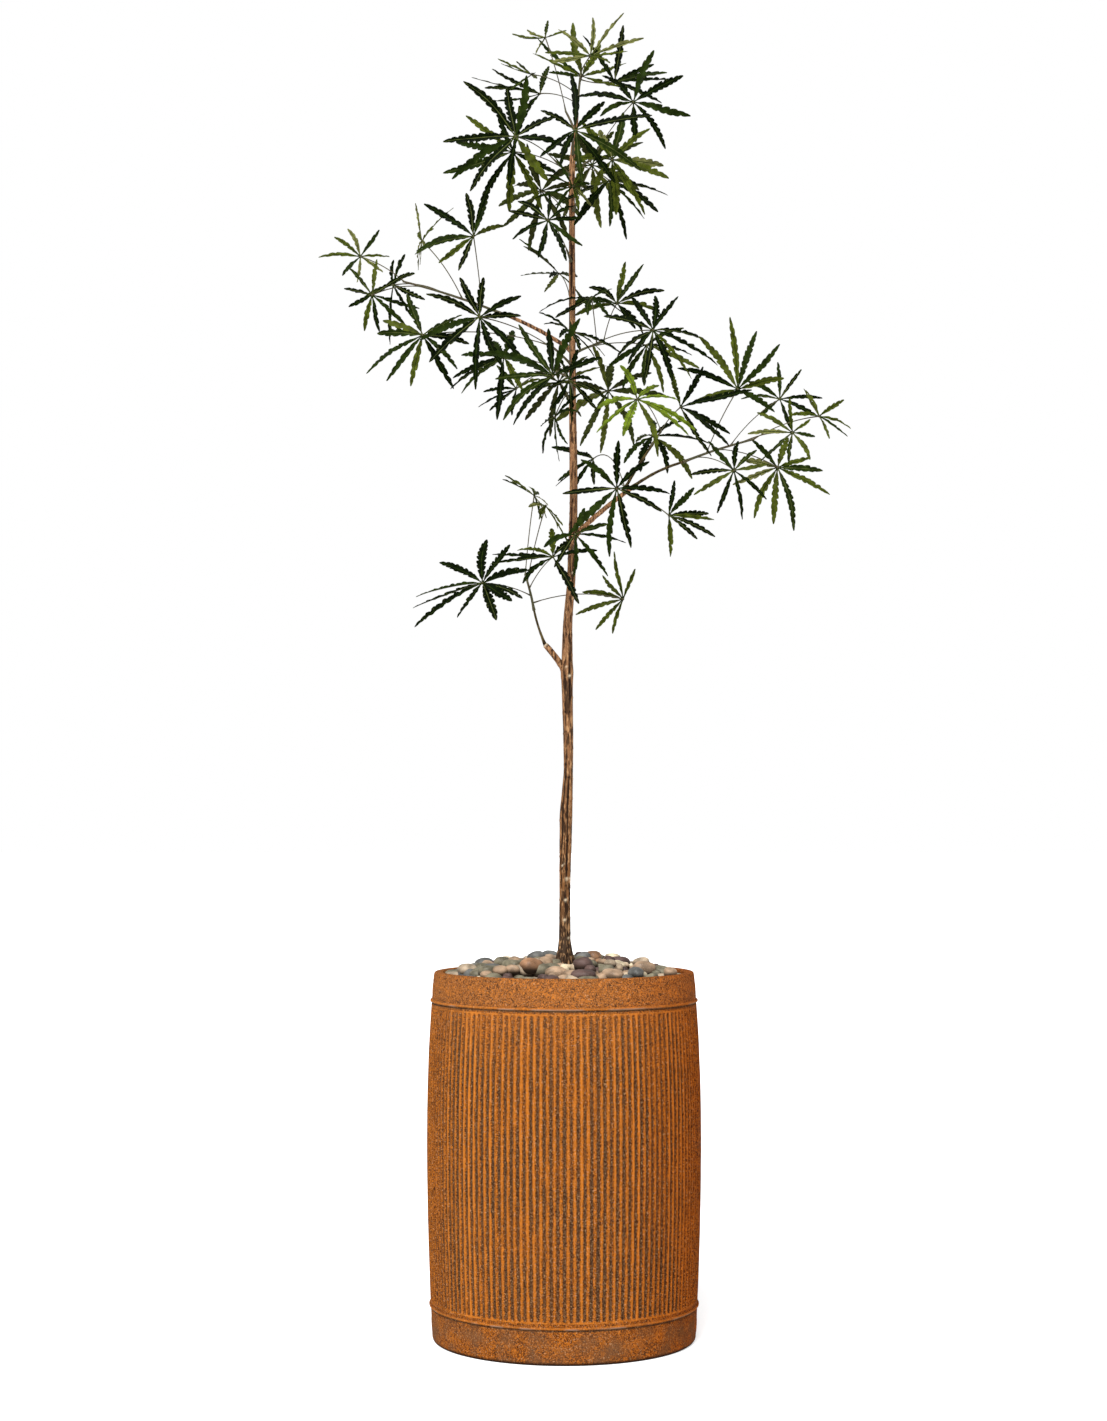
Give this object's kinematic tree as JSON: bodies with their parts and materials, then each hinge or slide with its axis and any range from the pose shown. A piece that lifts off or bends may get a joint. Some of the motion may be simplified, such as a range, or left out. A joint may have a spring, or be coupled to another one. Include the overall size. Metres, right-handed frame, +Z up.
{
  "type": "potted false aralia tree",
  "caption": "Slim false aralia tree with open sprays of finger-like leaves, standing in a fluted barrel planter topped with river pebbles.",
  "frame": {"origin": "centre of the planter's flat underside, at floor level", "axes": "+Z up along the planter's axis, -Y towards the viewer of the picture, +X to that viewer's right"},
  "size_m": [0.8923, 0.5557, 2.2196],
  "materials": {
    "planter_glaze": "matt rust-orange finish over dark flutes, with a fine rusted texture on the bands",
    "potting_soil": "dark crumbly potting mix",
    "river_pebbles": "smooth satin river pebbles in grey, tan, cream and terracotta",
    "bark": "matt warm brown bark with pale leaf scars",
    "leaves": "satin dark green leaflets, some olive and lime"
  },
  "bodies": {
    "root": {"planter": "planter_glaze", "soil": "potting_soil", "pebbles": "river_pebbles", "trunk": "bark", "bough_low_left": "bark", "shoot_low_left": "bark", "bough_left": "bark", "bough_right": "bark", "bough_right_long": "bark", "bough_right_upper": "bark", "foliage_crown_tip": "leaves", "foliage_crown_curl": "leaves", "foliage_crown_left": "leaves", "foliage_crown_front": "leaves", "foliage_crown_right": "leaves", "foliage_crown_back": "leaves", "foliage_crown_knot": "leaves", "foliage_collar_front": "leaves", "foliage_collar_back": "leaves", "foliage_left_tip": "leaves", "foliage_left_front": "leaves", "foliage_middle_left": "leaves", "foliage_middle_front": "leaves", "foliage_middle_right": "leaves", "foliage_middle_back": "leaves", "foliage_right_centre": "leaves", "foliage_right_tip": "leaves", "foliage_right_low": "leaves", "foliage_trunk_tuft": "leaves", "foliage_low_left": "leaves"}
  },
  "joints": []
}
